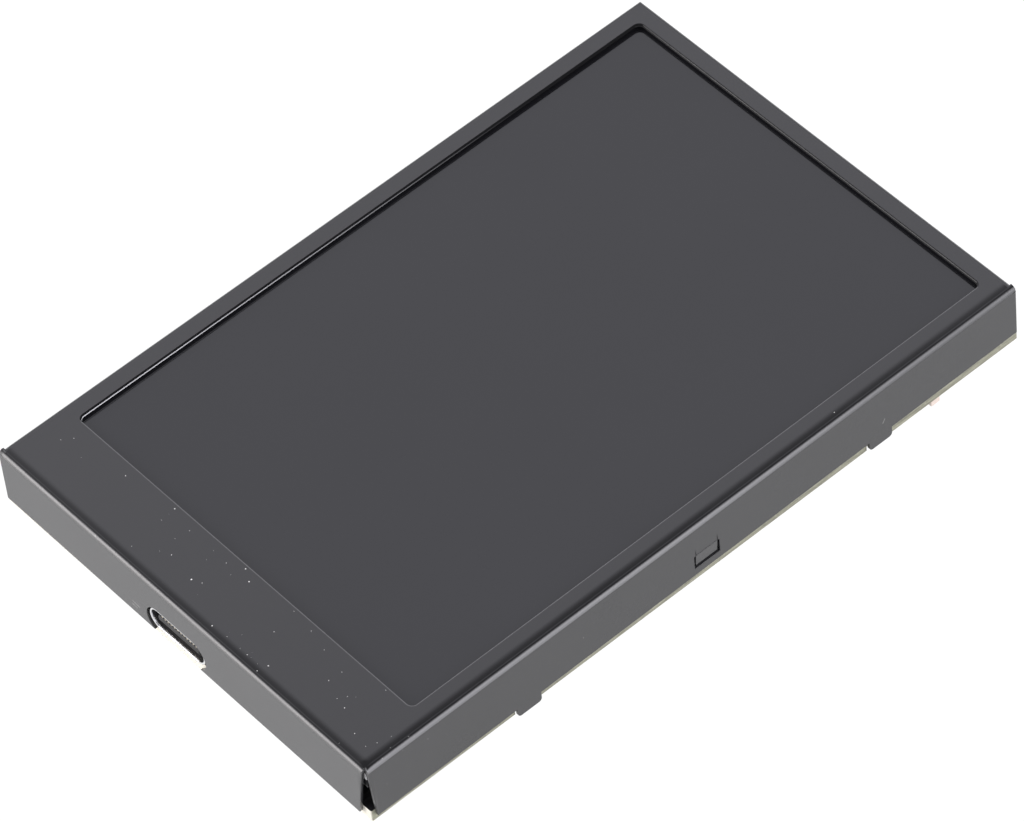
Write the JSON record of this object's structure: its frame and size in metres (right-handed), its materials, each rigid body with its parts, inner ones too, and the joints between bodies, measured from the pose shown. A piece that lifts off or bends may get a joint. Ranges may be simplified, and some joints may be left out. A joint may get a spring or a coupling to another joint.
{
  "type": "tft display module",
  "caption": "Rectangular display module: dark glass panel in a folded black metal cover, seated on a circuit board that carries a data port.",
  "frame": {"origin": "centre of the four mounting nuts, in the plane of their faces", "axes": "+X along the long side, away from the data port; +Z out of the viewing face"},
  "size_m": [0.0904, 0.0593, 0.0109],
  "materials": {
    "cover_paint": "black semi-matt powder paint",
    "tape": "black double-sided foam tape",
    "polariser": "dark polarising film",
    "glass": "clear display glass",
    "silicon": "bare driver chip",
    "film": "diffusing film",
    "guide": "clear acrylic light guide",
    "frame_plastic": "white moulded frame",
    "tray_steel": "thin steel tray",
    "tail_film": "polyimide flexible circuit",
    "lamp": "lamp with yellow phosphor",
    "foam": "black foam",
    "board": "black solder mask over a tan glass-fibre laminate",
    "port_steel": "drawn plated steel shell",
    "port_plastic": "black moulded insulator",
    "gold": "gold-plated contact",
    "chip_plastic": "black moulding compound",
    "tin": "tinned lead",
    "crystal_can": "crystal can",
    "ferrite": "ferrite coil body",
    "ceramic": "tan ceramic with tinned ends",
    "resistor": "black resistor glaze with tinned ends",
    "nut_brass": "plated brass"
  },
  "bodies": {
    "root": {"front_cover": "cover_paint", "bezel_tape": "tape", "front_polariser": "polariser", "upper_glass": "glass", "lower_glass": "glass", "driver_chip": "silicon", "rear_polariser": "polariser", "diffuser_film": "film", "light_guide": "guide", "reflector_film": "film", "panel_frame": "frame_plastic", "rear_tray": "tray_steel", "lamp_strip": "tail_film", "display_tail": "tail_film", "circuit_board": "board", "port_shell": "port_steel", "port_core": "port_plastic", "port_contacts": "gold", "controller": "chip_plastic", "controller_leads": "tin", "memory_chip": "chip_plastic", "memory_leads": "tin", "crystal": "crystal_can", "regulator": "chip_plastic", "regulator_leads": "tin", "boost_coil": "ferrite", "boost_driver": "chip_plastic", "boost_leads": "tin", "lamp_1": "lamp", "lamp_2": "lamp", "lamp_3": "lamp", "lamp_4": "lamp", "lamp_5": "lamp", "lamp_6": "lamp", "foam_pad_1": "foam", "foam_pad_2": "foam", "foam_pad_3": "foam", "foam_pad_4": "foam", "capacitor_1": "ceramic", "capacitor_2": "ceramic", "capacitor_3": "ceramic", "capacitor_4": "ceramic", "capacitor_5": "ceramic", "capacitor_6": "ceramic", "capacitor_7": "ceramic", "capacitor_8": "ceramic", "resistor_1": "resistor", "resistor_2": "resistor", "resistor_3": "resistor", "resistor_4": "resistor", "resistor_5": "resistor", "resistor_6": "resistor", "mounting_nut_1": "nut_brass", "mounting_nut_2": "nut_brass", "mounting_nut_3": "nut_brass", "mounting_nut_4": "nut_brass"}
  },
  "joints": []
}
